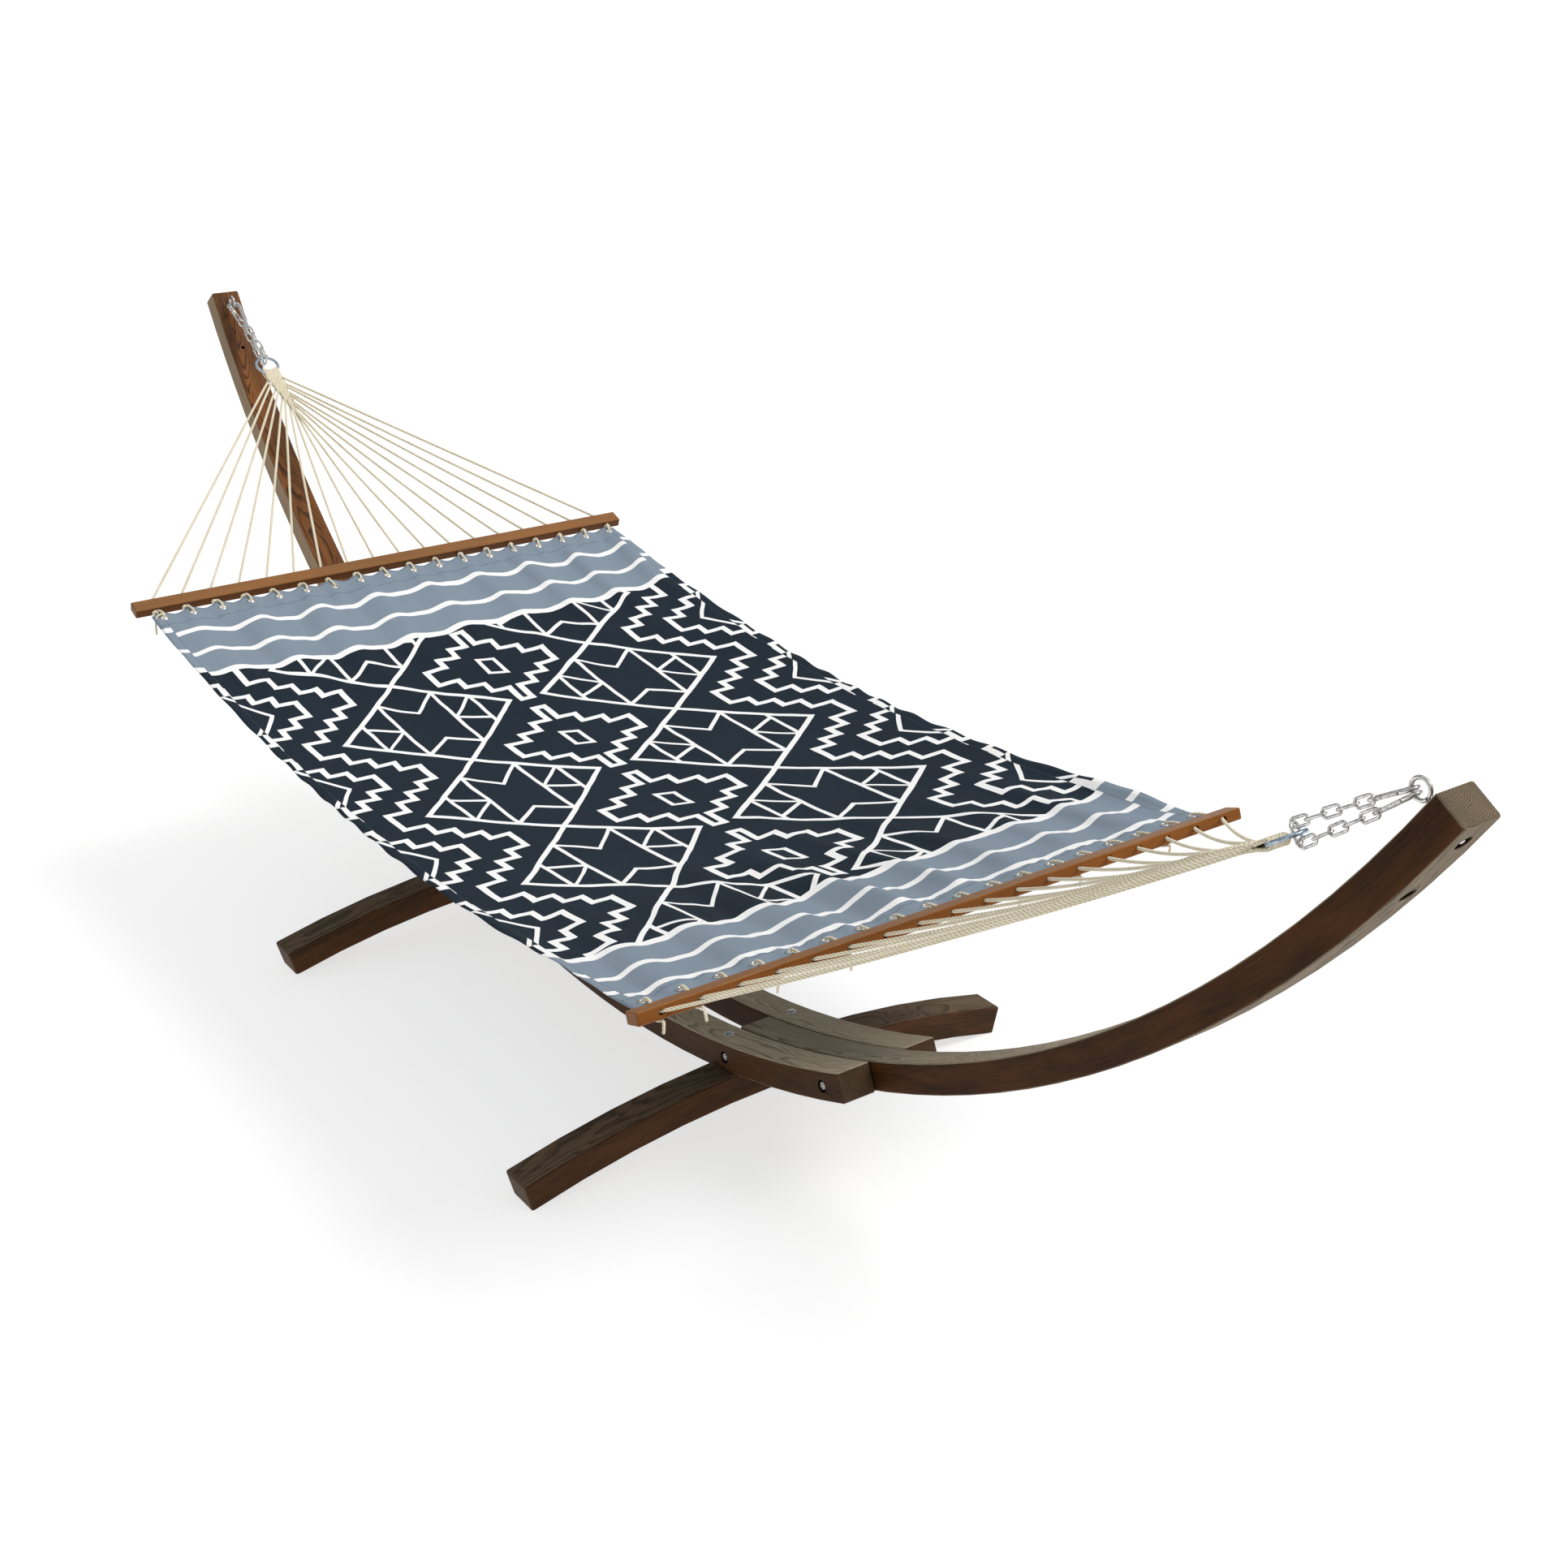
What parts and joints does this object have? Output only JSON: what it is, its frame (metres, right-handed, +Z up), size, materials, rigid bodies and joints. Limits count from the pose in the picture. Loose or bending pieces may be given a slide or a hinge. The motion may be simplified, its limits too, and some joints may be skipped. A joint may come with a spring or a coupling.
{
  "type": "hammock on stand",
  "caption": "Free-standing bowed timber hammock stand with a printed fabric bed on spreader bars, hung by rope harnesses, rings, chains and snap hooks.",
  "frame": {"origin": "on the floor, under the middle of the stand", "axes": "+X towards the foot end of the hammock, +Y across it, +Z up"},
  "size_m": [3.9432, 1.226, 1.177],
  "materials": {
    "stand_wood": "dark red-brown stain on laminated larch, satin",
    "bar_wood": "orange-brown varnished hardwood",
    "zinc_steel": "bright zinc plate",
    "ring_steel": "blue-passivated zinc plate",
    "cotton_rope": "twisted cream rope",
    "bed_fabric": "woven fabric, navy with white line pattern and slate end bands"
  },
  "bodies": {
    "stand": {"arm_foot": "stand_wood", "arm_head": "stand_wood", "carriage_bolt_foot_far": "zinc_steel", "carriage_bolt_foot_near": "zinc_steel", "carriage_bolt_head_far": "zinc_steel", "carriage_bolt_head_near": "zinc_steel", "carriage_nut_foot_far": "zinc_steel", "carriage_nut_foot_near": "zinc_steel", "carriage_nut_head_far": "zinc_steel", "carriage_nut_head_near": "zinc_steel", "cross_foot_foot": "stand_wood", "cross_foot_head": "stand_wood", "eye_bolt_foot": "zinc_steel", "eye_bolt_head": "zinc_steel", "eye_nut_foot": "zinc_steel", "eye_nut_head": "zinc_steel", "rail_far": "stand_wood", "rail_near": "stand_wood", "through_bolt_foot_inner": "zinc_steel", "through_bolt_foot_outer": "zinc_steel", "through_bolt_head_inner": "zinc_steel", "through_bolt_head_outer": "zinc_steel", "through_nut_foot_inner": "zinc_steel", "through_nut_foot_outer": "zinc_steel", "through_nut_head_inner": "zinc_steel", "through_nut_head_outer": "zinc_steel"},
    "hammock": {"bed": "bed_fabric", "chain_foot": "zinc_steel", "chain_head": "zinc_steel", "gate_pin_foot_lower": "zinc_steel", "gate_pin_foot_upper": "zinc_steel", "gate_pin_head_lower": "zinc_steel", "gate_pin_head_upper": "zinc_steel", "o_ring_foot": "ring_steel", "o_ring_head": "ring_steel", "rope_harness_foot": "cotton_rope", "rope_harness_head": "cotton_rope", "snap_hook_foot_lower": "zinc_steel", "snap_hook_foot_upper": "zinc_steel", "snap_hook_head_lower": "zinc_steel", "snap_hook_head_upper": "zinc_steel", "spreader_bar_foot": "bar_wood", "spreader_bar_head": "bar_wood"},
    "gate_foot_lower": {"hook_gate_foot_lower": "zinc_steel"},
    "gate_foot_upper": {"hook_gate_foot_upper": "zinc_steel"},
    "gate_head_lower": {"hook_gate_head_lower": "zinc_steel"},
    "gate_head_upper": {"hook_gate_head_upper": "zinc_steel"}
  },
  "joints": [
    {"name": "hammock_swing", "type": "hinge", "parent": "stand", "child": "hammock", "pos_m": [0, 0, 1.15451], "axis": [1, 0, 0], "range_deg": [-20, 20]},
    {"name": "gate_open_foot_lower", "type": "hinge", "parent": "hammock", "child": "gate_foot_lower", "pos_m": [1.83458, -0.00797, 1.11526], "axis": [-0.6434, 0, 0.7655], "range_deg": [0, 22], "stiffness_Nm_per_rad": 0.05, "springref_deg": -11.46},
    {"name": "gate_open_foot_upper", "type": "hinge", "parent": "hammock", "child": "gate_foot_upper", "pos_m": [1.82569, -0.00797, 1.12764], "axis": [-0.5203, 0, 0.854], "range_deg": [0, 22], "stiffness_Nm_per_rad": 0.05, "springref_deg": -11.46},
    {"name": "gate_open_head_lower", "type": "hinge", "parent": "hammock", "child": "gate_head_lower", "pos_m": [-1.83225, -0.00797, 1.11795], "axis": [-0.5997, 0, -0.8002], "range_deg": [0, 22], "stiffness_Nm_per_rad": 0.05, "springref_deg": -11.46},
    {"name": "gate_open_head_upper", "type": "hinge", "parent": "hammock", "child": "gate_head_upper", "pos_m": [-1.82406, -0.00797, 1.1308], "axis": [-0.4718, 0, -0.8817], "range_deg": [0, 22], "stiffness_Nm_per_rad": 0.05, "springref_deg": -11.46}
  ]
}
